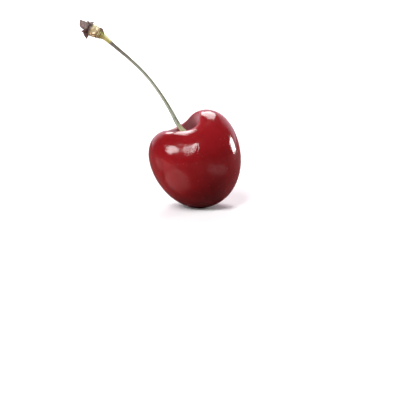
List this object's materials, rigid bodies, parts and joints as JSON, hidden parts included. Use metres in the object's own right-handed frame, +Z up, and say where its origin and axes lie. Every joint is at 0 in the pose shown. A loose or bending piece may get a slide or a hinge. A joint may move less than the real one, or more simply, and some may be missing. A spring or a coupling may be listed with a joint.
{
  "type": "cherry",
  "caption": "Ripe heart-shaped sweet cherry, leaning a little on a small flat, with its long curved stalk, the knobbly spur stub at its end and dry bud scales.",
  "frame": {"origin": "middle of the small flat on the fruit's underside, on which it rests", "axes": "+Z up, +X towards the fruit's higher shoulder, away from the side to which the stalk curves, and +Y towards the side with the suture"},
  "size_m": [0.0459, 0.0242, 0.0549],
  "materials": {
    "cherry_skin": "tight, smooth, wet-looking dark red skin with fine pale specks",
    "stalk_green": "fresh green stalk, satin, browner towards its far end",
    "stub_cream": "cream and yellow-green bark lumps with brown edges, dull",
    "scale_brown": "dry, mauve-brown, papery and dull"
  },
  "bodies": {
    "root": {"fruit": "cherry_skin", "stalk": "stalk_green", "spur_stub": "stub_cream", "bud_scales": "scale_brown"}
  },
  "joints": []
}
